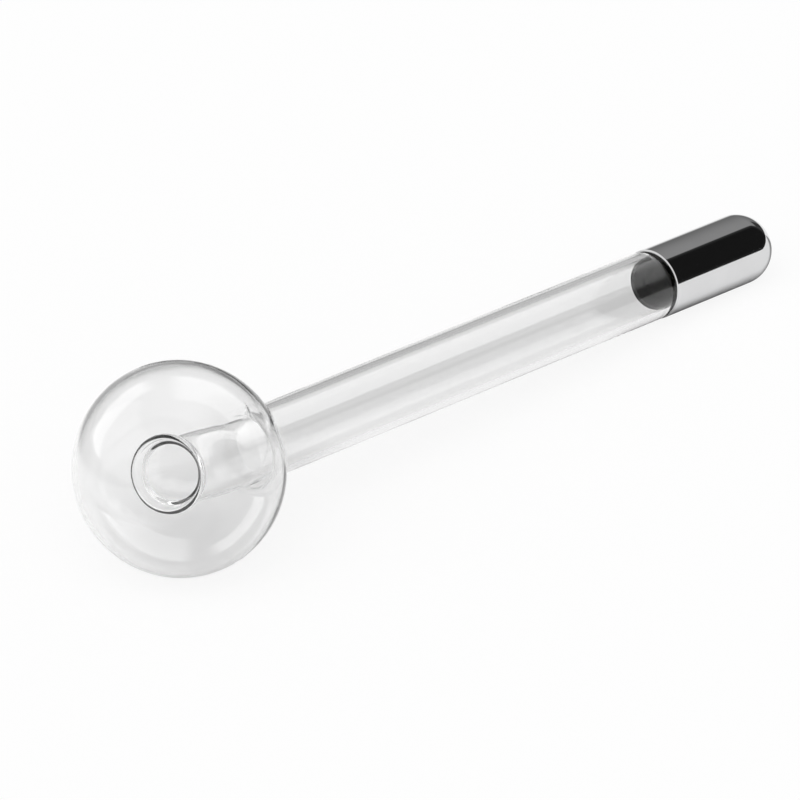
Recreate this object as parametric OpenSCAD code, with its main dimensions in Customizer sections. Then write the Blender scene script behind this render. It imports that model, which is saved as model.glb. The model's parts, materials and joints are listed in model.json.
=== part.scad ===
// Glass electrode of a violet ray set: a hand-blown ball on a straight glass stem, with an
// open tube inside the ball and a bright metal cap over the sealed end.
// Sizes are in millimetres. The stem lies along X. The origin is the middle of the cap's mouth,
// on the stem's axis, and the cap points to +X, the way it goes into its handpiece.

/* [Ball] */
// Width of the ball across the stem
ball_width = 32.2; // [27:0.1:40]
// Length of the ball along the stem
ball_length = 31.1; // [27:0.1:40]
// Thickness of the ball's wall at its widest
ball_side_wall = 0.6; // [0.5:0.05:1.5]
// Thickness of the ball's wall at its front and back
ball_end_wall = 0.8; // [0.5:0.05:1.5]
// How far the ball's centre lies above the stem's axis, as blown by hand
head_offset = 1.4; // [0:0.1:2.5]

/* [Inner tube] */
// Outside diameter of the tube inside the ball
inner_diameter = 10; // [8:0.1:11]
// Wall of the inner tube
inner_wall = 0.8; // [0.5:0.05:1.5]
// Diameter across the inner tube's flared mouth
mouth_diameter = 11.9; // [11.2:0.1:15]
// How far the mouth stands in front of the ball's centre
mouth_reach = 2.8; // [0:0.1:6]
// Length over which the inner tube flares towards its mouth
flare_length = 2.5; // [1.5:0.5:9]

/* [Ring seal] */
// Radius of the fillet of fused glass between the ball's back and the stem
seal_fillet = 1.2; // [0.6:0.1:2]
// Ledge of fused glass left round the fillet
seal_ledge = 0.3; // [0.2:0.1:1]
// How far the fused glass stands into the ball
seal_inside = 0.8; // [0.4:0.1:1.5]
// How far the throat stays inside the bores that it joins
throat_margin = 0.2; // [0.1:0.05:0.6]

/* [Stem] */
// Outside diameter of the stem
stem_diameter = 10.9; // [9.5:0.1:13]
// Wall of the stem
stem_wall = 1.1; // [0.9:0.05:2]
// Distance along the stem from the ball's centre to the cap's mouth
stem_reach = 105; // [70:1:160]
// Length of the shoulder that takes the stem down to fit the cap
shoulder_length = 1.2; // [0.6:0.1:3]

/* [Cap] */
// Outside diameter of the cap, which plugs into the handpiece
cap_diameter = 11.1; // [10:0.1:13]
// Straight length of the cap, without its round end
cap_straight = 20; // [16:0.5:30]
// Wall of the cap
cap_wall = 0.4; // [0.2:0.05:0.6]
// Bevel on the outer edge of the cap's mouth
cap_bevel = 0.1; // [0.05:0.01:0.15]

/* [Sealed end] */
// Gap between the glass and the cap, which the cement fills
cement_gap = 0.2; // [0.1:0.05:0.5]
// Length of the cement along the straight glass in the cap
cement_length = 4; // [2:0.5:7]
// Diameter of the exhaust tip where it leaves the glass
tip_diameter = 3; // [2.4:0.1:4]
// Length of the exhaust tip
tip_length = 3.5; // [2.5:0.1:5]
// Diameter of the hole that the tip seals
tip_bore = 1.2; // [0.6:0.1:1.8]
// Length of solid glass at the end of the tip
tip_solid = 1.6; // [1:0.1:2.2]
// Room between the tip and the cap's closed end
tip_gap = 1; // [0.5:0.1:2]

/* [Hidden] */

$fn = 96;
// Straight steps along each round stretch of a turned profile
arc_steps = 36;
// Overlap of cutting shapes past the faces that they cut
cut = 1;
clear_glass = [0.86, 0.92, 0.93, 0.45];
bright_metal = [0.72, 0.72, 0.74];
pale_cement = [0.86, 0.83, 0.76];

// Radii, and half lengths along the stem
ball_r = ball_width / 2;
ball_half = ball_length / 2;
cavity_r = ball_r - ball_side_wall;
cavity_half = ball_half - ball_end_wall;
stem_r = stem_diameter / 2;
stem_bore_r = stem_r - stem_wall;
cap_r = cap_diameter / 2;
cap_bore_r = cap_r - cap_wall;
neck_r = cap_bore_r - cement_gap;
neck_bore_r = neck_r - stem_wall;
tip_r = tip_diameter / 2;
tip_bore_r = tip_bore / 2;
inner_bore_r = inner_diameter / 2 - inner_wall;

// Inner tube: radius of its lip, radii to the middle of its wall, and where the lip's centre lies
lip_r = inner_wall / 2;
wall_r = inner_diameter / 2 - lip_r;
mouth_wall_r = mouth_diameter / 2 - lip_r;
mouth_at = lip_r - mouth_reach;

// Ring seal: it plugs the hole at the back of the ball and carries both tubes
seal_r = stem_r + head_offset + seal_fillet + seal_ledge;
seal_rim = oval_depth(cavity_r, cavity_half, seal_r);
seal_front = seal_rim - seal_inside;
seal_step = oval_depth(ball_r, ball_half, seal_r);
seal_back = seal_step + seal_fillet;
throat_r = min(inner_bore_r, stem_bore_r) - throat_margin;

// The inner tube stands on the stem's axis and leans until its mouth is central in the ball
inner_lean = asin(head_offset / (seal_front + mouth_reach));
foot_spare = inner_diameter * sin(inner_lean);

// Sealed end: places along the stem, from the ball's centre
dome_at = stem_reach + cap_straight;
tip_end = dome_at + cap_bore_r - tip_gap;
glass_end = tip_end - tip_length;
glass_dome_at = glass_end - sqrt(neck_r * neck_r - tip_r * tip_r);
cement_start = glass_dome_at - cement_length;

// Distance along the stem at which an oval round the ball's centre has the radius r, behind the centre
function oval_depth(across, along, r) = along * sqrt(1 - pow(r / across, 2));

// Points [radius, distance] of that oval: 0 degrees is its front and 180 its back
function oval_arc(across, along, from, to) = [
    for (i = [0:arc_steps])
        let (a = from + (to - from) * i / arc_steps)
            [across * sin(a), -along * cos(a)]
];

// Points of the rounded glass end, from its straight side in to the radius end_r
function dome_arc(r, end_r) = [
    for (i = [0:arc_steps])
        let (a = acos(end_r / r) * i / arc_steps)
            [r * cos(a), glass_dome_at + r * sin(a)]
];

// Points of the exhaust tip's rounded outside, from its foot to its end
function tip_arc() = [
    for (i = [0:arc_steps])
        let (u = i / arc_steps)
            [tip_r * cos(90 * u), glass_end + tip_length * u]
];

// Radius to the middle of the inner tube's wall, at the share u of the flare's length
function flare_r(u) = wall_r + (mouth_wall_r - wall_r) * u * u;

// Points along the flare's outside (side 1) or inside (side -1), up to the mouth
function flare_side(side) = [
    for (i = [0:arc_steps])
        let (u = i / arc_steps)
            [flare_r(u) + side * lip_r, mouth_at + flare_length * (1 - u)]
];

// Points round the fire-polished lip, from outside to inside
function mouth_lip() = [
    for (i = [1:arc_steps - 1])
        let (a = 180 * i / arc_steps)
            [mouth_wall_r + lip_r * cos(a), mouth_at - lip_r * sin(a)]
];

function turned_back(points) = [for (i = [len(points) - 1:-1:0]) points[i]];

// Turned pieces stand on Z with the ball's centre at 0: this lays them along X in the part's frame
module along_stem() {
    translate([-stem_reach, 0, 0]) rotate([0, 90, 0]) children();
}

// Lifts the head's own pieces off the stem's axis: local -X becomes up
module on_head_axis() {
    translate([-head_offset, 0, 0]) children();
}

// Half outline of a straight tube with a round end, from start to the end's centre and on round it
module bullet_outline(r, start, centre) {
    translate([0, start]) square([r, centre - start]);
    translate([0, centre]) intersection() {
        circle(r);
        square(r);
    }
}

module ball_bulb() {
    outside = oval_arc(ball_r, ball_half, 0, 180 - asin(seal_r / ball_r));
    inside = oval_arc(cavity_r, cavity_half, 180 - asin(seal_r / cavity_r), 0);
    color(clear_glass) along_stem() on_head_axis() rotate_extrude() polygon(concat(outside, inside));
}

// Turns a piece about the middle of the ring seal's front, towards the ball's centre
module leaning() {
    translate([0, 0, seal_front]) rotate([0, inner_lean, 0]) translate([0, 0, -seal_front]) children();
}

module inner_tube() {
    foot = seal_front + foot_spare;
    outside = concat([[wall_r + lip_r, foot]], flare_side(1));
    inside = concat([[wall_r - lip_r, foot]], flare_side(-1));
    color(clear_glass) along_stem() difference() {
        leaning() rotate_extrude() polygon(concat(outside, mouth_lip(), turned_back(inside)));
        translate([-ball_r, -ball_r, seal_front]) cube([ball_width, ball_width, ball_length]);
    }
}

// Half outline of the fillet round the stem, standing on the plug and sunk into it
module fillet_outline() {
    difference() {
        translate([0, seal_rim]) square([stem_r + seal_fillet, seal_back - seal_rim]);
        translate([stem_r + seal_fillet, seal_back]) circle(seal_fillet);
    }
}

module seal_ring() {
    plug = [
        [0, seal_front], [seal_r - seal_inside, seal_front], [seal_r, seal_rim],
        [seal_r, seal_step], [0, seal_step]
    ];
    color(clear_glass) along_stem() difference() {
        union() {
            on_head_axis() rotate_extrude() polygon(plug);
            rotate_extrude() fillet_outline();
        }
        translate([0, 0, seal_front - cut])
            cylinder(r = throat_r, h = seal_back - seal_front + 2 * cut);
    }
}

module stem_tube() {
    outside = concat(
        [[stem_r, seal_back], [stem_r, stem_reach - shoulder_length], [neck_r, stem_reach]],
        dome_arc(neck_r, tip_r), [[tip_bore_r, glass_end]]
    );
    inside = concat(
        [[stem_bore_r, seal_back], [stem_bore_r, stem_reach - shoulder_length], [neck_bore_r, stem_reach]],
        dome_arc(neck_bore_r, tip_bore_r)
    );
    color(clear_glass) along_stem() rotate_extrude() polygon(concat(outside, turned_back(inside)));
}

module exhaust_tip() {
    outline = concat(
        [[tip_bore_r, glass_end]], tip_arc(), [[0, tip_end - tip_solid]]
    );
    color(clear_glass) along_stem() rotate_extrude() polygon(outline);
}

module end_cap() {
    bevel_cut = [
        [cap_r - cap_bevel - cut, stem_reach - cut], [cap_r + cut, stem_reach - cut],
        [cap_r + cut, stem_reach + cap_bevel + cut]
    ];
    color(bright_metal) along_stem() rotate_extrude() difference() {
        bullet_outline(cap_r, stem_reach, dome_at);
        bullet_outline(cap_bore_r, stem_reach - cut, dome_at);
        polygon(bevel_cut);
    }
}

module cap_cement() {
    glass = concat(
        [[0, cement_start - cut], [neck_r, cement_start - cut]],
        dome_arc(neck_r, tip_r), tip_arc()
    );
    color(pale_cement) along_stem() rotate_extrude() difference() {
        bullet_outline(cap_bore_r, cement_start, dome_at);
        polygon(glass);
    }
}

ball_bulb();
inner_tube();
seal_ring();
stem_tube();
exhaust_tip();
end_cap();
cap_cement();
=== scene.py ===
"""Glass electrode of a violet ray set: one blown glass vessel, its bright cap and the cement in it.

The pieces are turned from drawn half outlines, in metres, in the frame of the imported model: the
stem lies along X, and the origin is the middle of the cap's mouth.
"""

import json
import math

import bmesh
import bpy
from mathutils import Matrix, Vector

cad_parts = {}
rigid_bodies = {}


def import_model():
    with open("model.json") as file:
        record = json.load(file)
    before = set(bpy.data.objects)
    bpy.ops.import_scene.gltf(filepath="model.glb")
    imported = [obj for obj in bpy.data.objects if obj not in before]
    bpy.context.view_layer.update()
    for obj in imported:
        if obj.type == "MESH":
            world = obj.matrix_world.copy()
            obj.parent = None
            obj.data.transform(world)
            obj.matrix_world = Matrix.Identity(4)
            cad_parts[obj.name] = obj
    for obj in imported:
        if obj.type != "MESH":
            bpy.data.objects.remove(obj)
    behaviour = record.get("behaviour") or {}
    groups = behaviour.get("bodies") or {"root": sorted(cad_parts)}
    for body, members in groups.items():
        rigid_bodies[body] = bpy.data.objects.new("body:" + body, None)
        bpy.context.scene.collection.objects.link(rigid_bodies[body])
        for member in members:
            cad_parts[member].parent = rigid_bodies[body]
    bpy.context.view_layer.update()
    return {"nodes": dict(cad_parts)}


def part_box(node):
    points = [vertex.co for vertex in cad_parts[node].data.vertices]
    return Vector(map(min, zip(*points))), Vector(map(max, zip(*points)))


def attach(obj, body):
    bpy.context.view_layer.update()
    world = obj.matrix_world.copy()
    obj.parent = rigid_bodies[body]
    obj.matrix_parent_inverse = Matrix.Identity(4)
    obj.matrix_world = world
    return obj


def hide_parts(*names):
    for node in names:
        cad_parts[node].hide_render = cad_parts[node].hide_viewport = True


bl_info = {
    "name": "Glass Electrode",
    "version": (1, 0, 0),
    "blender": (4, 5, 0),
    "location": "View3D > Sidebar > Electrode",
    "description": "Models a ball-ended glass electrode and the studio that it lies in",
    "category": "Object",
}

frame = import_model()

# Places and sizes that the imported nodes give
BALL_LOW, BALL_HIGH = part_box("ball_bulb")
SEAL_LOW, SEAL_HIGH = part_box("seal_ring")
TIP_LOW, TIP_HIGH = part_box("exhaust_tip")
CAP_LOW, CAP_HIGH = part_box("end_cap")

BALL_R = BALL_HIGH.y
HEAD_LIFT = (BALL_LOW.z + BALL_HIGH.z) / 2
STEM_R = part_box("stem_tube")[1].y
TIP_R = TIP_HIGH.y
TUBE_MOUTH_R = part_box("inner_tube")[1].y
CAP_R = CAP_HIGH.y
CAP_BORE_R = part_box("cap_cement")[1].y
DOME_X = CAP_HIGH.x - CAP_R
CAP_MOUTH_X = CAP_LOW.x

# Counts of straight steps round a piece and along its curves
ROUND_STEPS = 160
OVAL_STEPS = 60
CURVE_STEPS = 14
STRAIGHT_STEPS = 18
# Points closer than this are one
MERGE_DISTANCE = 1e-6
# Length of the bend at the ball's neck, in its own radii
NECK_RUN = 1.4
# Room round the glass in the cap's mouth, and the length over which the glass narrows past it
CAP_MOUTH_CLEARANCE = 0.00003
NECK_TAPER = 0.003
# The bevel on the cap's rim: its share of the wall, and how far it leans back
BEVEL_SHARE = 0.7
BEVEL_ANGLE = math.radians(27)
# The turns that set the inner tube's mouth askew, as shares of its tilt
MOUTH_TURNS = (("Y", -0.5745), ("Z", -0.8185))
# Width of the waves in the glass
RIPPLE_WIDTH = 0.006
# Angle past which an edge stays sharp
SHARP_ANGLE = math.radians(50)


class ElectrodeSizes(bpy.types.PropertyGroup):
    """Sizes of the glass and the cap that can be changed by hand."""

    ball_length: bpy.props.FloatProperty(
        name="Ball length", description="Length of the ball along the stem",
        default=0.0311, unit="LENGTH")
    ball_side_wall: bpy.props.FloatProperty(
        name="Ball side wall", description="Glass of the ball at its widest",
        default=0.00055, unit="LENGTH")
    ball_end_wall: bpy.props.FloatProperty(
        name="Ball end wall", description="Glass of the ball at its front and back",
        default=0.0008, unit="LENGTH")
    cavity_shift: bpy.props.FloatVectorProperty(
        name="Cavity shift", description="How far the ball's inside lies off its outside, as blown by hand",
        default=(0.00006, -0.00015, -0.00012), subtype="TRANSLATION", unit="LENGTH", size=3)
    tube_radius: bpy.props.FloatProperty(
        name="Inner tube radius", description="Outside of the tube inside the ball, behind its flare",
        default=0.005, unit="LENGTH")
    tube_wall: bpy.props.FloatProperty(
        name="Inner tube wall", description="Glass of the inner tube behind its mouth",
        default=0.0008, unit="LENGTH")
    waist_wall: bpy.props.FloatProperty(
        name="Waist wall", description="Glass of the inner tube where it was drawn out thinnest",
        default=0.0004, unit="LENGTH")
    draw_length: bpy.props.FloatProperty(
        name="Draw length", description="Length over which the inner tube thickens again towards the stem",
        default=0.007, unit="LENGTH")
    lip_radius: bpy.props.FloatProperty(
        name="Lip radius", description="Half thickness of the fire-polished lip round the inner tube's mouth",
        default=0.0004, unit="LENGTH")
    mouth_reach: bpy.props.FloatProperty(
        name="Mouth reach", description="How far the inner tube's mouth stands in front of the ball's centre",
        default=0.0028, unit="LENGTH")
    flare_length: bpy.props.FloatProperty(
        name="Flare length", description="Length over which the inner tube flares to its lip",
        default=0.0015, unit="LENGTH")
    mouth_bend: bpy.props.FloatProperty(
        name="Mouth bend", description="Length over which the inner tube follows its mouth askew",
        default=0.012, unit="LENGTH")
    mouth_tilt: bpy.props.FloatProperty(
        name="Mouth tilt", description="How far the inner tube's mouth stands askew",
        default=math.radians(24), unit="ROTATION", subtype="ANGLE")
    seal_fillet: bpy.props.FloatProperty(
        name="Seal fillet", description="Bend by which the ball's neck comes down to the stem",
        default=0.002, unit="LENGTH")
    seal_gap: bpy.props.FloatProperty(
        name="Seal gap", description="How far the neck stands off the inner tube where it starts to close",
        default=0.0003, unit="LENGTH")
    stem_wall: bpy.props.FloatProperty(
        name="Stem wall", description="Glass of the stem at the cap",
        default=0.0011, unit="LENGTH")
    stem_root_wall: bpy.props.FloatProperty(
        name="Stem root wall", description="Glass of the stem behind the ball",
        default=0.0009, unit="LENGTH")
    shoulder_length: bpy.props.FloatProperty(
        name="Shoulder length", description="Length of the shoulder that takes the stem into the cap",
        default=0.0006, unit="LENGTH")
    cement_gap: bpy.props.FloatProperty(
        name="Cement gap", description="Gap between the glass and the cap",
        default=0.0002, unit="LENGTH")
    ripple: bpy.props.FloatProperty(
        name="Ripple", description="Depth of the waves that hand blowing leaves in the glass",
        default=0.00005, unit="LENGTH")


class ElectrodeColours(bpy.types.PropertyGroup):
    """Colours of the glass, the metal, the cement and the floor."""

    stem_glass: bpy.props.FloatVectorProperty(
        name="Stem glass", description="Tint of the stem's thicker glass",
        default=(0.915, 0.915, 0.915), subtype="COLOR", size=3, min=0, max=1)
    ball_glass: bpy.props.FloatVectorProperty(
        name="Ball glass", description="Tint of the ball's thin glass",
        default=(0.985, 0.985, 0.985), subtype="COLOR", size=3, min=0, max=1)
    plating: bpy.props.FloatVectorProperty(
        name="Plating", description="Bright plating of the cap",
        default=(0.76, 0.76, 0.765), subtype="COLOR", size=3, min=0, max=1)
    cement: bpy.props.FloatVectorProperty(
        name="Cement", description="Dry cement inside the cap",
        default=(0.66, 0.62, 0.54), subtype="COLOR", size=3, min=0, max=1)
    floor: bpy.props.FloatVectorProperty(
        name="Floor", description="Plain pale floor",
        default=(0.95, 0.95, 0.95), subtype="COLOR", size=3, min=0, max=1)


def sizes():
    return bpy.context.scene.electrode_sizes


def colours():
    return bpy.context.scene.electrode_colours


def ball_centre():
    """The ball's centre before the head is lifted off the stem's axis."""
    return Vector((BALL_LOW.x + sizes().ball_length / 2, 0, 0))


def tube_mouth_x():
    """Where the inner tube's mouth stands before it is set askew."""
    return ball_centre().x - sizes().mouth_reach


def neck_radius():
    """Outside of the glass inside the cap."""
    return CAP_BORE_R - sizes().cement_gap


def glass_dome_x():
    """Where the glass inside the cap starts to close."""
    return TIP_LOW.x - math.sqrt(neck_radius() ** 2 - TIP_R ** 2)


# Half outlines: lists of (x, radius) points


def shares(steps):
    return [i / steps for i in range(steps + 1)]


def oval(half, radius, end):
    """Points of an oval round the ball's centre, from its front to an angle in degrees."""
    turns = [math.radians(end * u) for u in shares(OVAL_STEPS)]
    return [(ball_centre().x - half * math.cos(a), radius * math.sin(a)) for a in turns]


def oval_crossing(half, radius, level):
    """Where the back of such an oval comes down to a radius: its angle, its point and its slope there."""
    angle = math.pi - math.asin(level / radius)
    point = (ball_centre().x - half * math.cos(angle), level)
    slope = radius * math.cos(angle) / (half * math.sin(angle))
    return math.degrees(angle), point, slope


def arc(x, r, radius, start, end, steps=CURVE_STEPS):
    """Points of a circle round (x, r), from start to end degrees, where 0 is +X and 90 is outward."""
    turns = [math.radians(start + (end - start) * u) for u in shares(steps)]
    return [(x + radius * math.cos(a), r + radius * math.sin(a)) for a in turns]


def eased(start, corner, end):
    """Points of a smooth bend that leaves start and reaches end along the lines to the corner."""
    weights = [((1 - u) ** 2, 2 * u * (1 - u), u * u) for u in shares(CURVE_STEPS)]
    return [tuple(a * p + b * q + c * r for p, q, r in zip(start, corner, end)) for a, b, c in weights]


def straight(start, end):
    """Points along a straight line."""
    return [tuple(p + (q - p) * u for p, q in zip(start, end)) for u in shares(STRAIGHT_STEPS)]


def joined(*runs):
    """One outline out of several runs, with the points that they share kept once."""
    points = []
    for point in (point for run in runs for point in run):
        if not points or math.dist(point, points[-1]) > MERGE_DISTANCE:
            points.append(point)
    return points


def necked(half, radius, level, gap):
    """One side of the ball's wall, bent at its back into a neck that closes on a tube of some radius."""
    fillet = sizes().seal_fillet
    angle, foot, slope = oval_crossing(half, radius, level + fillet)
    corner_x = foot[0] - fillet / slope
    return joined(
        oval(half, radius, angle),
        eased(foot, (corner_x, level + gap), (corner_x + fillet * NECK_RUN, level)),
    )


def shouldered(radius, neck):
    """The step in from the stem to the cap's mouth, and on to the neck inside the cap."""
    length = sizes().shoulder_length
    start = (CAP_MOUTH_X - length, radius)
    entry = (CAP_MOUTH_X, radius - (STEM_R - CAP_BORE_R) - CAP_MOUTH_CLEARANCE)
    return joined(
        eased(start, (CAP_MOUTH_X - length / 4, radius), entry),
        straight(entry, (CAP_MOUTH_X + NECK_TAPER, neck)),
    )


def softened(start, end):
    """Points of a soft slope that leaves start and reaches end along the X axis."""
    slope = [(u, u * u * (3 - 2 * u)) for u in shares(CURVE_STEPS)]
    return [(start[0] + (end[0] - start[0]) * u, start[1] + (end[1] - start[1]) * v) for u, v in slope]


def swelling(level, rim):
    """One side of the inner tube's wall, run softly from its own radius to the lip's."""
    s = sizes()
    lip_x = tube_mouth_x() + s.lip_radius
    return softened((lip_x + s.flare_length, level), (lip_x, rim))


def glass_outside():
    """Outline of the vessel's outside, from the ball's front to the end of the sealed tip."""
    s = sizes()
    neck = neck_radius()
    head = necked(s.ball_length / 2, BALL_R, STEM_R, 0)
    shoulder = shouldered(STEM_R, neck)
    dome_end = math.degrees(math.asin(TIP_R / neck))
    tip_length = TIP_HIGH.x - TIP_LOW.x
    tip = [(TIP_LOW.x + tip_length * u, TIP_R * math.cos(math.pi / 2 * u)) for u in shares(CURVE_STEPS)]
    return joined(
        head,
        straight(head[-1], shoulder[0]),
        shoulder,
        straight(shoulder[-1], (glass_dome_x(), neck)),
        arc(glass_dome_x(), 0, neck, 90, dome_end),
        tip,
    )


def glass_inside():
    """Outline of the sealed space: the ball's inside, round the open inner tube, and on down the stem."""
    s = sizes()
    lip = s.lip_radius
    tube_bore = s.tube_radius - s.tube_wall
    bore = STEM_R - s.stem_wall
    neck_bore = neck_radius() - s.stem_wall
    head = necked(s.ball_length / 2 - s.ball_end_wall, BALL_R - s.ball_side_wall, s.tube_radius, s.seal_gap)
    root = (SEAL_LOW.x + s.draw_length, STEM_R - s.stem_root_wall)
    throat = softened((SEAL_LOW.x, s.tube_radius - s.waist_wall), root)
    outer_swelling = swelling(s.tube_radius, TUBE_MOUTH_R)
    inner_swelling = swelling(tube_bore, TUBE_MOUTH_R - 2 * lip)
    shoulder = shouldered(bore, neck_bore)
    return joined(
        head,
        straight(head[-1], outer_swelling[0]),
        outer_swelling,
        arc(tube_mouth_x() + lip, TUBE_MOUTH_R - lip, lip, 90, 270),
        inner_swelling[::-1],
        straight(inner_swelling[0], throat[0]),
        throat,
        straight(throat[-1], shoulder[0]),
        shoulder,
        straight(shoulder[-1], (glass_dome_x(), neck_bore)),
        arc(glass_dome_x(), 0, neck_bore, 90, 0),
    )


def cap_outline():
    """Outline of the drawn cap, from the outside of its round end, over the rim and back along its inside."""
    edge = (CAP_R - CAP_BORE_R) * (1 - BEVEL_SHARE)
    bevel = (CAP_R - CAP_BORE_R) * BEVEL_SHARE
    bevel_x = CAP_MOUTH_X + bevel * math.tan(BEVEL_ANGLE)
    return joined(
        arc(DOME_X, 0, CAP_R, 0, 90, OVAL_STEPS // 2),
        straight((DOME_X, CAP_R), (bevel_x, CAP_R)),
        straight((bevel_x, CAP_R), (CAP_MOUTH_X, CAP_R - bevel)),
        arc(CAP_MOUTH_X + edge, CAP_BORE_R + edge, edge, 180, 270),
        straight((CAP_MOUTH_X + edge, CAP_BORE_R), (DOME_X, CAP_BORE_R)),
        arc(DOME_X, 0, CAP_BORE_R, 90, 0, OVAL_STEPS // 2),
    )


# Modelling steps


def begin_piece(name):
    """Starts a new mesh object at the origin, in edit mode and empty."""
    bpy.ops.object.select_all(action="DESELECT")
    bpy.ops.mesh.primitive_plane_add(size=1, location=(0, 0, 0), enter_editmode=True)
    piece = bpy.context.object
    piece.name = name
    piece.data.name = name
    bpy.ops.mesh.delete(type="VERT")
    return piece


def draw_outline(points, group):
    """Draws an outline above the X axis, one vertex extruded after another, as a named vertex group."""
    bpy.ops.mesh.select_all(action="DESELECT")
    bpy.ops.mesh.primitive_plane_add(size=1, location=(0, 0, 0))
    bpy.ops.mesh.merge(type="CENTER")
    bpy.ops.transform.translate(value=(points[0][0], 0, points[0][1]))
    for (x, r), (next_x, next_r) in zip(points, points[1:]):
        bpy.ops.mesh.extrude_vertices_move(
            TRANSFORM_OT_translate={"value": (next_x - x, 0, next_r - r)})
    bpy.ops.mesh.select_linked()
    bpy.ops.object.vertex_group_add()
    bpy.context.object.vertex_groups.active.name = group
    bpy.ops.object.vertex_group_assign()


def turn_outlines():
    """Turns every drawn outline round the X axis into closed walls whose faces point outwards."""
    bpy.ops.mesh.select_all(action="SELECT")
    bpy.ops.mesh.spin(steps=ROUND_STEPS, angle=math.tau, center=(0, 0, 0), axis=(1, 0, 0))
    bpy.ops.mesh.select_all(action="SELECT")
    bpy.ops.mesh.remove_doubles(threshold=MERGE_DISTANCE)
    bpy.ops.mesh.normals_make_consistent(inside=False)


def select_group(piece, group):
    """Selects the vertices of one named group and nothing else."""
    bpy.ops.mesh.select_all(action="DESELECT")
    piece.vertex_groups.active = piece.vertex_groups[group]
    bpy.ops.object.vertex_group_select()


def select_where(piece, test):
    """Selects the vertices whose place passes the test and nothing else."""
    bpy.ops.mesh.select_all(action="DESELECT")
    mesh = bmesh.from_edit_mesh(piece.data)
    for vertex in mesh.verts:
        vertex.select = test(vertex.co)
    mesh.select_flush_mode()
    bmesh.update_edit_mesh(piece.data)


def soft_pull(reach):
    """Options that let the glass next to what is moved follow it softly, along the wall."""
    return {
        "use_proportional_edit": True,
        "use_proportional_connected": True,
        "proportional_edit_falloff": "SMOOTH",
        "proportional_size": reach,
    }


def add_ripple(piece, group, scale, depth):
    """Waves a group of a finished wall with soft clouds, as hot glass sets, and applies it."""
    clouds = bpy.data.textures.new(f"{piece.name}_{group}_waves", "CLOUDS")
    clouds.noise_scale = scale
    wave = piece.modifiers.new(f"{group}_waves", "DISPLACE")
    wave.texture = clouds
    wave.texture_coords = "LOCAL"
    wave.strength = depth
    wave.vertex_group = group
    bpy.ops.object.modifier_apply(modifier=wave.name)


def finish_piece(piece, material, slot, *nodes):
    """Smooths a piece, gives it its finish, and sets it in the frame in place of its nodes."""
    bpy.ops.object.shade_smooth_by_angle(angle=SHARP_ANGLE)
    piece.data.materials.clear()
    piece.data.materials.append(material)
    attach(piece, "root")
    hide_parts(*nodes)


# Finishes


# Values of a noise between which a finish goes from one end to the other
NOISE_SPAN = (0.3, 0.7)

# Glass: how strongly it bends light, its faint clouds and the lines that drawing leaves along it
GLASS_IOR = 1.48
GLASS_CLOUDS = 60
GLASS_CLOUD_TINT = 0.995
GLASS_LINES = 900
GLASS_LINES_STRETCH = (0.03, 1, 1)
GLASS_LINES_BUMP = (0.02, 0.0001)

# Plating: its smudges, its polish and the fine lines round it, and the tints of the painted shade on the
# cap's inside, which stays back from the middle of the rim
PLATE_SMUDGES = 140
PLATE_SMUDGE_DETAIL = 4
PLATE_SMUDGE_TINT = 0.95
PLATE_ROUGHNESS = (0.03, 0.06)
PLATE_LINES = 2500
PLATE_LINES_STRETCH = (1, 0.05, 0.05)
PLATE_LINES_BUMP = (0.02, 0.00005)
INSIDE_SHADE_TINTS = (0.25, 0.3)
INSIDE_SHADE_EDGE = 0.0001

# Cement: its grain
CEMENT_GRAIN = 900
CEMENT_GRAIN_DETAIL = 5
CEMENT_GRAIN_TINT = 0.7
CEMENT_GRAIN_BUMP = (0.6, 0.0002)
CEMENT_ROUGHNESS = 0.95


def new_finish(name):
    """A new material with its nodes, its links and its shader."""
    material = bpy.data.materials.new(name)
    material.use_nodes = True
    nodes = material.node_tree.nodes
    return material, nodes, material.node_tree.links, nodes["Principled BSDF"]


def object_noise(nodes, links, scale, stretch=(1, 1, 1), detail=2.0):
    """A noise on the object's own coordinates, stretched along an axis where asked."""
    place = nodes.new("ShaderNodeTexCoord")
    mapping = nodes.new("ShaderNodeMapping")
    mapping.inputs["Scale"].default_value = stretch
    noise = nodes.new("ShaderNodeTexNoise")
    noise.inputs["Scale"].default_value = scale
    noise.inputs["Detail"].default_value = detail
    links.new(place.outputs["Object"], mapping.inputs["Vector"])
    links.new(mapping.outputs["Vector"], noise.inputs["Vector"])
    return noise.outputs["Fac"]


def ranged(nodes, links, value, start, end, low=0.0, high=1.0):
    """A value taken from one range to another, smoothly, and held at its ends."""
    node = nodes.new("ShaderNodeMapRange")
    node.interpolation_type = "SMOOTHSTEP"
    node.inputs["From Min"].default_value = start
    node.inputs["From Max"].default_value = end
    node.inputs["To Min"].default_value = low
    node.inputs["To Max"].default_value = high
    links.new(value, node.inputs["Value"])
    return node.outputs["Result"]


def calculated(nodes, links, operation, *values):
    """A number worked out from values that are numbers or sockets."""
    node = nodes.new("ShaderNodeMath")
    node.operation = operation
    for socket, value in zip(node.inputs, values):
        if isinstance(value, (int, float)):
            socket.default_value = value
        else:
            links.new(value, socket)
    return node.outputs[0]


def mixed(nodes, links, factor, low, high):
    """A number between two others, which are numbers or sockets."""
    span = calculated(nodes, links, "SUBTRACT", high, low)
    return calculated(nodes, links, "MULTIPLY_ADD", factor, span, low)


def dotted(nodes, links, vector, way):
    """How far a vector goes along a way."""
    node = nodes.new("ShaderNodeVectorMath")
    node.operation = "DOT_PRODUCT"
    links.new(vector, node.inputs[0])
    node.inputs[1].default_value = way
    return node.outputs["Value"]


def between(nodes, links, value, start, end, edge):
    """One between two angles and nought outside, with soft edges."""
    half = edge / 2
    return calculated(
        nodes, links, "MULTIPLY",
        ranged(nodes, links, value, start - half, start + half),
        ranged(nodes, links, value, end - half, end + half, 1.0, 0.0))


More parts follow.
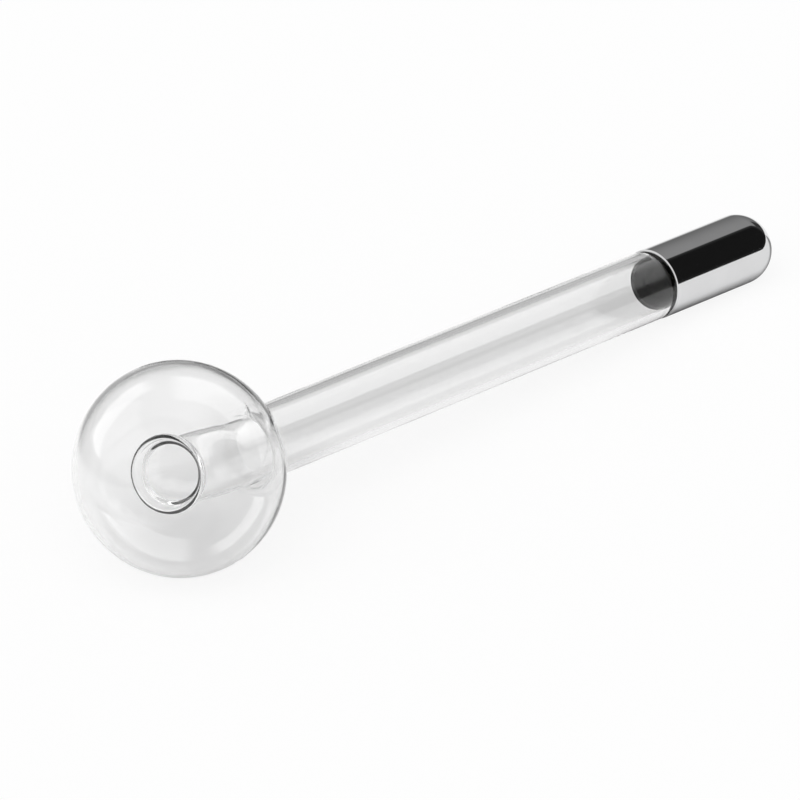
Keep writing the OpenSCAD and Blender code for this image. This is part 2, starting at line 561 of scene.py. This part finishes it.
def object_place(nodes, links):
    """Where a point lies in its object, as sockets named X, Y and Z."""
    place = nodes.new("ShaderNodeSeparateXYZ")
    links.new(nodes.new("ShaderNodeTexCoord").outputs["Object"], place.inputs[0])
    return place.outputs


def tinted(nodes, links, value, low, high):
    """A colour between two tints, by a noise."""
    node = nodes.new("ShaderNodeMix")
    node.data_type = "RGBA"
    node.inputs["A"].default_value = (*low, 1)
    node.inputs["B"].default_value = (*high, 1)
    links.new(ranged(nodes, links, value, *NOISE_SPAN), node.inputs["Factor"])
    return node.outputs["Result"]


def bumped(nodes, links, value, strength, distance):
    """A bump from a height."""
    node = nodes.new("ShaderNodeBump")
    node.inputs["Strength"].default_value = strength
    node.inputs["Distance"].default_value = distance
    links.new(value, node.inputs["Height"])
    return node.outputs["Normal"]


def clear_glass():
    """Clear blown glass with faint drawn lines along the stem."""
    material, nodes, links, shader = new_finish("clear_glass")
    tint = nodes.new("ShaderNodeMix")
    tint.data_type = "RGBA"
    cloud = object_noise(nodes, links, GLASS_CLOUDS)
    for socket, colour in (("A", colours().ball_glass), ("B", colours().stem_glass)):
        glass = Vector(colour)
        links.new(tinted(nodes, links, cloud, glass * GLASS_CLOUD_TINT, glass), tint.inputs[socket])
    along = object_place(nodes, links)["X"]
    links.new(ranged(nodes, links, along, SEAL_LOW.x, SEAL_HIGH.x), tint.inputs["Factor"])
    links.new(tint.outputs["Result"], shader.inputs["Base Color"])
    shader.inputs["Transmission Weight"].default_value = 1
    shader.inputs["Roughness"].default_value = 0
    shader.inputs["IOR"].default_value = GLASS_IOR
    lines = object_noise(nodes, links, GLASS_LINES, GLASS_LINES_STRETCH)
    links.new(bumped(nodes, links, lines, *GLASS_LINES_BUMP), shader.inputs["Normal"])
    return material


def inside_cap(nodes, links):
    """One on the cap's inside, where its shade is painted, and nought on its outside."""
    place = object_place(nodes, links)
    along = calculated(nodes, links, "SUBTRACT", place["X"], DOME_X)
    along = calculated(nodes, links, "MAXIMUM", along, 0.0)
    radius = calculated(nodes, links, "MULTIPLY", along, along)
    for axis in "YZ":
        radius = calculated(nodes, links, "MULTIPLY_ADD", place[axis], place[axis], radius)
    radius = calculated(nodes, links, "SQRT", radius)
    return calculated(nodes, links, "LESS_THAN", radius, (CAP_R + CAP_BORE_R) / 2 - INSIDE_SHADE_EDGE)


def bright_plating():
    """Bright plating with fine polishing lines round the cap, faint handling smudges and painted shade on the
    cap's inside.
    """
    material, nodes, links, shader = new_finish("bright_plating")
    plate = Vector(colours().plating)
    smudge = object_noise(nodes, links, PLATE_SMUDGES, detail=PLATE_SMUDGE_DETAIL)
    # Painted shade: the cap's inside takes a darkened copy of the plating
    inside_shade = nodes.new("ShaderNodeMix")
    inside_shade.data_type = "RGBA"
    links.new(inside_cap(nodes, links), inside_shade.inputs["Factor"])
    shade_dark, bright = (plate * tint for tint in INSIDE_SHADE_TINTS)
    links.new(tinted(nodes, links, smudge, plate * PLATE_SMUDGE_TINT, plate), inside_shade.inputs["A"])
    links.new(tinted(nodes, links, smudge, shade_dark, bright), inside_shade.inputs["B"])
    links.new(inside_shade.outputs["Result"], shader.inputs["Base Color"])
    shader.inputs["Metallic"].default_value = 1
    links.new(ranged(nodes, links, smudge, *NOISE_SPAN, *PLATE_ROUGHNESS), shader.inputs["Roughness"])
    lines = object_noise(nodes, links, PLATE_LINES, PLATE_LINES_STRETCH)
    links.new(bumped(nodes, links, lines, *PLATE_LINES_BUMP), shader.inputs["Normal"])
    return material


def dry_cement():
    """Dry grainy cement."""
    material, nodes, links, shader = new_finish("dry_cement")
    base = Vector(colours().cement)
    grain = object_noise(nodes, links, CEMENT_GRAIN, detail=CEMENT_GRAIN_DETAIL)
    links.new(tinted(nodes, links, grain, base * CEMENT_GRAIN_TINT, base), shader.inputs["Base Color"])
    shader.inputs["Roughness"].default_value = CEMENT_ROUGHNESS
    links.new(bumped(nodes, links, grain, *CEMENT_GRAIN_BUMP), shader.inputs["Normal"])
    return material


# Operators, one for each piece or group


class ELECTRODE_OT_glass(bpy.types.Operator):
    """Model the blown glass: ball, open inner tube, ring seal, stem and sealed tip in one vessel"""

    bl_idname = "electrode.glass"
    bl_label = "Glass vessel"

    def execute(self, context):
        s = sizes()
        piece = begin_piece("glass_vessel")
        draw_outline(glass_outside(), "outside")
        draw_outline(glass_inside(), "inside")
        turn_outlines()
        select_group(piece, "inside")
        bpy.ops.mesh.flip_normals()
        self.lift_ball(piece, s)
        self.set_mouth(piece, s)
        bpy.ops.object.mode_set(mode="OBJECT")
        add_ripple(piece, "inside", RIPPLE_WIDTH, s.ripple)
        finish_piece(piece, clear_glass(), "clear_glass",
                     "ball_bulb", "inner_tube", "seal_ring", "stem_tube", "exhaust_tip")
        return {"FINISHED"}

    def lift_ball(self, piece, s):
        """Lifts the ball off the stem's axis and shifts its inside, with the seal following softly."""
        front = tube_mouth_x() - s.lip_radius
        clear = STEM_R + s.seal_fillet
        select_where(piece, lambda p: p.x < SEAL_HIGH.x and (p.x < front or math.hypot(p.y, p.z) > clear))
        bpy.ops.transform.translate(value=(0, 0, HEAD_LIFT), **soft_pull(s.seal_fillet * NECK_RUN))
        piece.vertex_groups.active = piece.vertex_groups["outside"]
        bpy.ops.object.vertex_group_deselect()
        bpy.ops.transform.translate(value=s.cavity_shift, **soft_pull(s.seal_fillet * NECK_RUN))

    def set_mouth(self, piece, s):
        """Sets the inner tube's mouth askew and up to the ball's middle, with the tube following softly."""
        middle = Vector((tube_mouth_x(), 0, 0))
        lip = 2 * s.lip_radius
        reach = TUBE_MOUTH_R + lip
        select_where(piece, lambda p: abs(p.x - middle.x) < lip and math.hypot(p.y, p.z) < reach)
        for axis, share in MOUTH_TURNS:
            bpy.ops.transform.rotate(
                value=s.mouth_tilt * share, orient_axis=axis, center_override=middle,
                **soft_pull(s.mouth_bend))
        bpy.ops.transform.translate(value=(0, 0, HEAD_LIFT), **soft_pull(SEAL_LOW.x - middle.x))


class ELECTRODE_OT_cap(bpy.types.Operator):
    """Model the drawn metal cap with its bevelled rim"""

    bl_idname = "electrode.cap"
    bl_label = "End cap"

    def execute(self, context):
        piece = begin_piece("plated_end_cap")
        draw_outline(cap_outline(), "wall")
        turn_outlines()
        bpy.ops.object.mode_set(mode="OBJECT")
        finish_piece(piece, bright_plating(), "plated_cap", "end_cap")
        return {"FINISHED"}


class ELECTRODE_OT_cement(bpy.types.Operator):
    """Give the cement between the glass and the cap its dry finish"""

    bl_idname = "electrode.cement"
    bl_label = "Cap cement"

    def execute(self, context):
        cement = frame["nodes"]["cap_cement"]
        cement.data.materials.clear()
        cement.data.materials.append(dry_cement())
        return {"FINISHED"}


# Studio. Its own frame has the table's face at z = 0 and the ball's centre above the origin


CAMERA_AZIMUTH = -46.98
CAMERA_ELEVATION = 28.11
CAMERA_DISTANCE = 1.3646
CAMERA_TARGET = Vector((0.04753, 0, 0.009))
CAMERA_LENS = 407.5
CAMERA_SENSOR = 36
CAMERA_CLIP = (0.05, 20)

# How often light may bend or be mirrored, and be mirrored only
LIGHT_BOUNCES = 32
MIRROR_BOUNCES = 16

# Screens round the table: azimuths from and to, elevations from and to, softness of the edges, brightness
SCREENS = (
    (-75, 93, -2, 60, 3, 0.04),
    (93, 108, -2, 24, 4, 0.04),
    (-70, 88, 1, 60, 10, 0.01),
    (-175, -75, -2, 50, 3, 0.88),
)
# The plain wall between the screens: the elevations over which it brightens, and from what to what
WALL_RISE = (0, 45)
WALL_TONES = (0.17, 0.3)

# Lit sheets that show in the glass: turn round the sight line from and to, angles off that line from and
# to, brightness
SHEETS = (
    (115, 195, 60, 80, 2.4),
    (26, 96, 60, 100, 2.2),
    (-2, 26, 60, 80, 2.2),
    (-40, 0, 60, 66, 1.8),
)
SHEET_EDGE = 5
SHEET_SIDE_EDGE = 14
# How much of the white studio the glass lets through in front of the screens
CLEAR_SHARE = 0.5

# Soft light on plain surfaces: where its key comes from, how bright and how narrow the key is, and the rest
KEY_AZIMUTH = -65
KEY_ELEVATION = 40
KEY_BRIGHTNESS = 2.8
KEY_SPREAD = 4
FILL_BRIGHTNESS = 0.35

# Floor. Where it is seen, this share of it is its own glow, and the rest is lit and takes the shadow
FLOOR_SIZE = 6
FLOOR_SEEN = 0.88
# That share where the part mirrors the floor: least under the ball, and how it rises from there
FLOOR_MIRRORED_LEAST = 0.1
FLOOR_MIRRORED = 0.85
FLOOR_MIRRORED_RISE = (0.0, 0.015)
# That share where the floor is seen through the glass: of the ball, and of the stem from some way along it
FLOOR_THROUGH = 0.5
FLOOR_THROUGH_STEM = 0.85
FLOOR_STEM_FROM = (0.03, 0.042)
# Painted shade on the floor behind the part, where the part shows it: where it darkens, and to what
FLOOR_BACK = (0.055, 0.1)
FLOOR_BACK_DARK = 0.42
# Where in front of the part the floor that it mirrors is painted into shade, and in what tone
FLOOR_FRONT = (-0.34, -0.2)
FLOOR_FRONT_DARK = 0.03
# The stem's shadow, painted on the floor as the stem shows it: its far edge at the ball, how that runs in
# along the stem, how deep the shadow is and how it fades from its far edge and towards the stem
SHADOW_EDGE = 0.0244
SHADOW_RUN = 0.104
SHADOW_DEPTH = 0.19
SHADOW_FAR = (-0.0007, 0.0007)
SHADOW_NEAR = (-0.014, -0.0055)
# Painted shade on the floor under the cap, which only the cap's underside mirrors
CAP_SHADE = 0.7
CAP_SHADE_X = (0.092, 0.102)
CAP_SHADE_FRONT = (-0.0075, -0.0015)
CAP_SHADE_BACK = (0.002, 0.004)


def table_frame():
    """From the studio's frame to the part's: the part lies on its ball and on the cap's round end."""
    span = DOME_X - ball_centre().x
    tilt = math.asin((BALL_R - CAP_R) / math.hypot(span, HEAD_LIFT)) - math.atan2(HEAD_LIFT, span)
    centre = ball_centre() + Vector((0, 0, HEAD_LIFT))
    return Matrix.Translation(centre) @ Matrix.Rotation(-tilt, 4, "Y") @ Matrix.Translation((0, 0, -BALL_R))


def direction(azimuth, elevation):
    """The way from the object to a point, in degrees: azimuth 0 is towards -Y and 90 towards +X."""
    a, e = math.radians(azimuth), math.radians(elevation)
    return Vector((math.sin(a) * math.cos(e), -math.cos(a) * math.cos(e), math.sin(e)))


class ELECTRODE_OT_studio(bpy.types.Operator):
    """Set up the floor, the light and the camera"""

    bl_idname = "electrode.studio"
    bl_label = "Studio"

    def execute(self, context):
        scene = context.scene
        table = table_frame()
        self.add_floor(table)
        self.add_world(scene, table.to_3x3())
        self.add_camera(scene, table)
        scene.view_settings.view_transform = "Standard"
        scene.cycles.max_bounces = LIGHT_BOUNCES
        scene.cycles.transmission_bounces = LIGHT_BOUNCES
        scene.cycles.glossy_bounces = MIRROR_BOUNCES
        return {"FINISHED"}

    def add_floor(self, table):
        bpy.ops.object.select_all(action="DESELECT")
        bpy.ops.mesh.primitive_plane_add(size=FLOOR_SIZE)
        floor = bpy.context.object
        floor.name = "studio_floor"
        floor.matrix_world = table
        floor.data.materials.append(self.floor_finish())

    def floor_finish(self):
        """Pale floor: white with the part's shadow where it is seen, and with painted shade where the part
        shows it.
        """
        material, nodes, links, shader = new_finish("pale_floor")
        shader.inputs["Roughness"].default_value = 1
        shader.inputs["Specular IOR Level"].default_value = 0
        path = nodes.new("ShaderNodeLightPath").outputs
        place = object_place(nodes, links)
        behind_stem = ranged(nodes, links, place["X"], *FLOOR_STEM_FROM)
        # The floor close by the cap, where its shade is painted and where its mirrored glow is taken away
        near_cap = calculated(
            nodes, links, "MULTIPLY",
            ranged(nodes, links, place["X"], *CAP_SHADE_X),
            ranged(nodes, links, place["Y"], *CAP_SHADE_BACK, 1.0, 0.0))
        tone = self.floor_tone(nodes, links, path, place, behind_stem, near_cap)
        glow = nodes.new("ShaderNodeEmission")
        links.new(tone, glow.inputs["Strength"])
        colour = nodes.new("ShaderNodeVectorMath")
        colour.operation = "SCALE"
        colour.inputs[0].default_value = colours().floor
        links.new(tone, colour.inputs["Scale"])
        links.new(colour.outputs["Vector"], shader.inputs["Base Color"])
        mix = nodes.new("ShaderNodeMixShader")
        links.new(self.floor_glow(nodes, links, path, place, behind_stem, near_cap), mix.inputs[0])
        links.new(shader.outputs[0], mix.inputs[1])
        links.new(glow.outputs[0], mix.inputs[2])
        links.new(mix.outputs[0], nodes["Material Output"].inputs["Surface"])
        return material

    def floor_tone(self, nodes, links, path, place, behind_stem, near_cap):
        """How bright the floor is: even where it is seen, and with painted shade and a painted shadow in
        parts where glass and cap show it.
        """
        bent = calculated(nodes, links, "MAXIMUM", path["Is Glossy Ray"], path["Is Transmission Ray"])
        mirrored = calculated(nodes, links, "SUBTRACT", path["Is Glossy Ray"], path["Is Transmission Ray"])
        # Painted shade on the floor behind the part, for rays that the glass or the cap bends
        back = ranged(nodes, links, place["Y"], *FLOOR_BACK, 1.0, FLOOR_BACK_DARK)
        # Painted shade on the mirrored floor far in front of the part
        front = ranged(nodes, links, place["Y"], *FLOOR_FRONT, FLOOR_FRONT_DARK, 1.0)
        # Painted shadow of the stem, seen only through the glass
        off_edge = calculated(nodes, links, "SUBTRACT", place["Y"], SHADOW_EDGE)
        off_edge = calculated(nodes, links, "MULTIPLY_ADD", place["X"], SHADOW_RUN, off_edge)
        shadow = ranged(nodes, links, off_edge, *SHADOW_FAR, 1.0, 0.0)
        near_edge = ranged(nodes, links, off_edge, *SHADOW_NEAR)
        for mask in (near_edge, behind_stem, path["Is Transmission Ray"]):
            shadow = calculated(nodes, links, "MULTIPLY", shadow, mask)
        # Painted shade under the cap, seen only in the cap's mirror
        shade = ranged(nodes, links, place["Y"], *CAP_SHADE_FRONT)
        for mask in (near_cap, mirrored):
            shade = calculated(nodes, links, "MULTIPLY", shade, mask)
        tone = mixed(nodes, links, bent, 1.0, back)
        for mask, dark in (
                (shadow, 1.0 - SHADOW_DEPTH), (mirrored, front), (shade, 1.0 - CAP_SHADE)):
            tone = calculated(nodes, links, "MULTIPLY", tone, mixed(nodes, links, mask, 1.0, dark))
        return tone

    def floor_glow(self, nodes, links, path, place, behind_stem, near_cap):
        """How much of the floor is its own glow, by whether it is seen, mirrored or seen through glass."""
        mirrored = ranged(
            nodes, links, place["X"], *FLOOR_MIRRORED_RISE, FLOOR_MIRRORED_LEAST, FLOOR_MIRRORED)
        lit = calculated(nodes, links, "SUBTRACT", 1.0, near_cap)
        mirrored = calculated(nodes, links, "MULTIPLY", mirrored, lit)
        through = mixed(nodes, links, behind_stem, FLOOR_THROUGH, FLOOR_THROUGH_STEM)
        through = calculated(nodes, links, "SUBTRACT", through, mirrored)
        share = calculated(nodes, links, "MULTIPLY", path["Is Camera Ray"], FLOOR_SEEN)
        share = calculated(nodes, links, "MULTIPLY_ADD", path["Is Glossy Ray"], mirrored, share)
        return calculated(nodes, links, "MULTIPLY_ADD", path["Is Transmission Ray"], through, share)

    def add_world(self, scene, turn):
        """Soft light for plain surfaces, and for the cap and the glass what stands round the table."""
        world = bpy.data.worlds.new("studio_world")
        scene.world = world
        world.use_nodes = True
        nodes = world.node_tree.nodes
        links = world.node_tree.links
        path = nodes.new("ShaderNodeLightPath").outputs
        view = nodes.new("ShaderNodeTexCoord").outputs["Generated"]
        around = self.screen_tone(nodes, links, view, turn)
        through = mixed(nodes, links, CLEAR_SHARE, around, 1.0)
        through = self.sheet_tone(nodes, links, view, turn, through)
        tone = mixed(nodes, links, path["Is Transmission Ray"], around, through)
        key = dotted(nodes, links, view, turn @ direction(KEY_AZIMUTH, KEY_ELEVATION))
        key = calculated(nodes, links, "POWER", calculated(nodes, links, "MAXIMUM", key, 0.0), KEY_SPREAD)
        key = calculated(nodes, links, "MULTIPLY_ADD", key, KEY_BRIGHTNESS, FILL_BRIGHTNESS)
        plain = mixed(nodes, links, path["Is Camera Ray"], key, 1.0)
        bent = calculated(nodes, links, "MAXIMUM", path["Is Glossy Ray"], path["Is Transmission Ray"])
        first = calculated(nodes, links, "LESS_THAN", path["Diffuse Depth"], 0.5)
        bent = calculated(nodes, links, "MULTIPLY", bent, first)
        background = nodes["Background"].inputs
        background["Color"].default_value = (1, 1, 1, 1)
        links.new(mixed(nodes, links, bent, plain, tone), background["Strength"])

    def screen_tone(self, nodes, links, view, turn):
        """The wall and the screens round the table."""
        height = dotted(nodes, links, view, turn @ Vector((0, 0, 1)))
        across = dotted(nodes, links, view, turn @ direction(90, 0))
        toward = dotted(nodes, links, view, turn @ direction(0, 0))
        elevation = calculated(nodes, links, "DEGREES", calculated(nodes, links, "ARCSINE", height))
        azimuth = calculated(nodes, links, "DEGREES", calculated(nodes, links, "ARCTAN2", across, toward))
        tone = ranged(nodes, links, elevation, *WALL_RISE, *WALL_TONES)
        for az_from, az_to, el_from, el_to, edge, brightness in SCREENS:
            mask = calculated(
                nodes, links, "MULTIPLY",
                between(nodes, links, azimuth, az_from, az_to, edge),
                between(nodes, links, elevation, el_from, el_to, edge))
            tone = mixed(nodes, links, mask, tone, brightness)
        return tone

    def sheet_tone(self, nodes, links, view, turn, tone):
        """The lit sheets, set round the sight line, in front of some other tone."""
        sight = -(turn @ direction(CAMERA_AZIMUTH, CAMERA_ELEVATION))
        right = sight.cross(turn @ Vector((0, 0, 1))).normalized()
        above = right.cross(sight)
        angle = calculated(nodes, links, "ARCCOSINE", dotted(nodes, links, view, sight))
        angle = calculated(nodes, links, "DEGREES", angle)
        for roll_from, roll_to, near, far, brightness in SHEETS:
            a = math.radians((roll_from + roll_to) / 2)
            half = (roll_to - roll_from) / 2
            along = dotted(nodes, links, view, right * math.cos(a) + above * math.sin(a))
            beside = dotted(nodes, links, view, above * math.cos(a) - right * math.sin(a))
            turned = calculated(nodes, links, "DEGREES", calculated(nodes, links, "ARCTAN2", beside, along))
            mask = calculated(
                nodes, links, "MULTIPLY",
                between(nodes, links, turned, -half, half, SHEET_SIDE_EDGE),
                between(nodes, links, angle, near, far, SHEET_EDGE))
            tone = mixed(nodes, links, mask, tone, brightness)
        return tone

    def add_camera(self, scene, table):
        camera = bpy.data.cameras.new("camera")
        camera.lens = CAMERA_LENS
        camera.sensor_width = CAMERA_SENSOR
        camera.clip_start, camera.clip_end = CAMERA_CLIP
        camera_object = bpy.data.objects.new("camera", camera)
        scene.collection.objects.link(camera_object)
        way = direction(CAMERA_AZIMUTH, CAMERA_ELEVATION)
        turn = way.to_track_quat("Z", "Y").to_matrix().to_4x4()
        camera_object.matrix_world = table @ Matrix.Translation(CAMERA_TARGET + way * CAMERA_DISTANCE) @ turn
        scene.camera = camera_object


class ELECTRODE_PT_sidebar(bpy.types.Panel):
    """Lists the steps in the 3D view's sidebar"""

    bl_idname = "ELECTRODE_PT_sidebar"
    bl_label = "Glass electrode"
    bl_space_type = "VIEW_3D"
    bl_region_type = "UI"
    bl_category = "Electrode"

    def draw(self, context):
        layout = self.layout
        for group in (context.scene.electrode_sizes, context.scene.electrode_colours):
            for name in group.__annotations__:
                layout.prop(group, name)
        for step in STEPS:
            layout.operator(step.bl_idname)


STEPS = (ELECTRODE_OT_glass, ELECTRODE_OT_cap, ELECTRODE_OT_cement, ELECTRODE_OT_studio)
CLASSES = (ElectrodeSizes, ElectrodeColours, *STEPS, ELECTRODE_PT_sidebar)


def register():
    for cls in CLASSES:
        bpy.utils.register_class(cls)
    bpy.types.Scene.electrode_sizes = bpy.props.PointerProperty(type=ElectrodeSizes)
    bpy.types.Scene.electrode_colours = bpy.props.PointerProperty(type=ElectrodeColours)


def unregister():
    del bpy.types.Scene.electrode_colours
    del bpy.types.Scene.electrode_sizes
    for cls in reversed(CLASSES):
        bpy.utils.unregister_class(cls)


def main():
    register()
    bpy.ops.electrode.glass()
    bpy.ops.electrode.cap()
    bpy.ops.electrode.cement()
    bpy.ops.electrode.studio()


if __name__ == "__main__":
    main()
